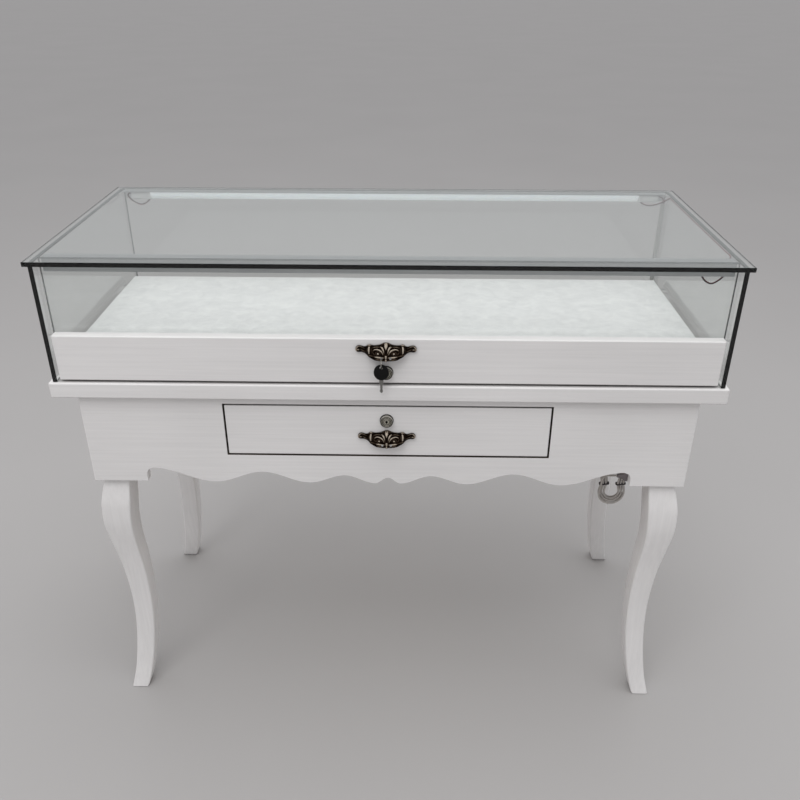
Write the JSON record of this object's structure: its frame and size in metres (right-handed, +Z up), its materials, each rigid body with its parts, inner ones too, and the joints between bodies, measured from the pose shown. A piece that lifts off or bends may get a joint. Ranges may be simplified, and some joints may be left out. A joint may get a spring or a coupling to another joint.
{
  "type": "jewelry showcase",
  "caption": "Glass-topped display case with a padded sliding display drawer, on a white table with scalloped aprons, curved legs and a lockable storage drawer.",
  "frame": {"origin": "on the floor, under the middle of the whole object's box", "axes": "+X to the right for someone facing the drawers, +Y to the back, +Z up; the drawers open towards -Y"},
  "size_m": [1.2, 0.5214, 0.9789],
  "materials": {
    "white_lacquered_wood": "white satin lacquer on board",
    "bare_birch_board": "bare sanded birch board",
    "clear_float_glass": "clear float glass, polished edges",
    "antique_bronze": "die-cast, antiqued bronze with rubbed high points",
    "chromed_zinc": "bright plated",
    "zinc_plated_steel": "zinc plated",
    "anodised_aluminium": "clear anodised",
    "opal_acrylic": "opal, satin",
    "clear_moulded_plastic": "clear moulded",
    "white_moulded_plastic": "white moulded, satin",
    "black_moulded_plastic": "black moulded",
    "dark_red_wire": "dark red insulation",
    "clear_grey_lead": "clear flexible sleeve over two cores",
    "white_plush": "short white plush"
  },
  "bodies": {
    "showcase_frame": {"plinth_board": "white_lacquered_wood", "front_apron": "white_lacquered_wood", "back_apron": "white_lacquered_wood", "left_apron": "white_lacquered_wood", "right_apron": "white_lacquered_wood", "front_left_leg": "white_lacquered_wood", "front_right_leg": "white_lacquered_wood", "back_left_leg": "white_lacquered_wood", "back_right_leg": "white_lacquered_wood", "drawer_cheek_left": "bare_birch_board", "drawer_cheek_right": "bare_birch_board", "glass_top": "clear_float_glass", "glass_left": "clear_float_glass", "glass_right": "clear_float_glass", "glass_back": "clear_float_glass", "glass_front": "clear_float_glass", "display_rail_left": "zinc_plated_steel", "display_rail_right": "zinc_plated_steel", "slide_outer_left": "zinc_plated_steel", "slide_outer_right": "zinc_plated_steel", "light_profile_front": "anodised_aluminium", "light_profile_back": "anodised_aluminium", "light_diffuser_front": "opal_acrylic", "light_diffuser_back": "opal_acrylic", "light_connector_front_left": "clear_moulded_plastic", "light_connector_front_right": "clear_moulded_plastic", "light_connector_back_left": "clear_moulded_plastic", "light_connector_back_right": "clear_moulded_plastic", "cable_conduit": "white_moulded_plastic", "light_driver": "white_moulded_plastic", "power_plug": "white_moulded_plastic", "plinth_grommet": "black_moulded_plastic", "light_link_wire": "dark_red_wire", "light_feed_wire": "dark_red_wire", "light_end_wire": "dark_red_wire", "supply_lead": "clear_grey_lead", "power_cord": "clear_grey_lead", "power_cord_hank": "clear_grey_lead"},
    "display_drawer": {"display_drawer_front": "white_lacquered_wood", "display_tray": "white_lacquered_wood", "display_pad": "white_plush", "display_pull": "antique_bronze", "display_lock_body": "chromed_zinc", "display_runner_left": "zinc_plated_steel", "display_runner_right": "zinc_plated_steel"},
    "display_lock_plug": {"display_lock_plug": "chromed_zinc", "display_lock_cam": "zinc_plated_steel"},
    "key_ring": {"key_ring": "chromed_zinc"},
    "drawer_key": {"drawer_key": "black_moulded_plastic"},
    "storage_drawer": {"storage_drawer_front": "white_lacquered_wood", "storage_drawer_box": "bare_birch_board", "storage_drawer_bottom": "bare_birch_board", "storage_pull": "antique_bronze", "storage_lock_body": "chromed_zinc", "slide_inner_left": "zinc_plated_steel", "slide_inner_right": "zinc_plated_steel"},
    "slide_middle_left": {"slide_middle_left": "zinc_plated_steel"},
    "slide_middle_right": {"slide_middle_right": "zinc_plated_steel"},
    "storage_lock_plug": {"storage_lock_plug": "chromed_zinc", "storage_lock_cam": "zinc_plated_steel"}
  },
  "joints": [
    {"name": "display_drawer_slide", "type": "slide", "parent": "showcase_frame", "child": "display_drawer", "axis": [0, -1, 0], "range_m": [0, 0.3]},
    {"name": "display_lock_turn", "type": "hinge", "parent": "display_drawer", "child": "display_lock_plug", "pos_m": [-0.0016, -0.23428, 0.7821], "axis": [0, 1, 0], "range_deg": [0, 90]},
    {"name": "key_ring_swing", "type": "hinge", "parent": "display_drawer", "child": "key_ring", "pos_m": [-0.0095, -0.25262, 0.8159], "axis": [-1, 0, 0], "range_deg": [-5, 20]},
    {"name": "key_swing", "type": "hinge", "parent": "key_ring", "child": "drawer_key", "pos_m": [-0.0095, -0.25262, 0.8009], "axis": [-1, 0, 0], "range_deg": [-3, 25]},
    {"name": "storage_drawer_slide", "type": "slide", "parent": "showcase_frame", "child": "storage_drawer", "axis": [0, -1, 0], "range_m": [0, 0.3]},
    {"name": "slide_middle_left_run", "type": "slide", "parent": "showcase_frame", "child": "slide_middle_left", "axis": [0, -1, 0], "range_m": [0, 0.15]},
    {"name": "slide_middle_right_run", "type": "slide", "parent": "showcase_frame", "child": "slide_middle_right", "axis": [0, -1, 0], "range_m": [0, 0.15]},
    {"name": "storage_lock_turn", "type": "hinge", "parent": "storage_drawer", "child": "storage_lock_plug", "pos_m": [-0.0016, -0.22528, 0.6802], "axis": [0, -1, 0], "range_deg": [0, 90]}
  ],
  "couplings": [
    {"joint": "slide_middle_left_run", "follows": "storage_drawer_slide", "ratio": 0.5},
    {"joint": "slide_middle_right_run", "follows": "storage_drawer_slide", "ratio": 0.5}
  ]
}
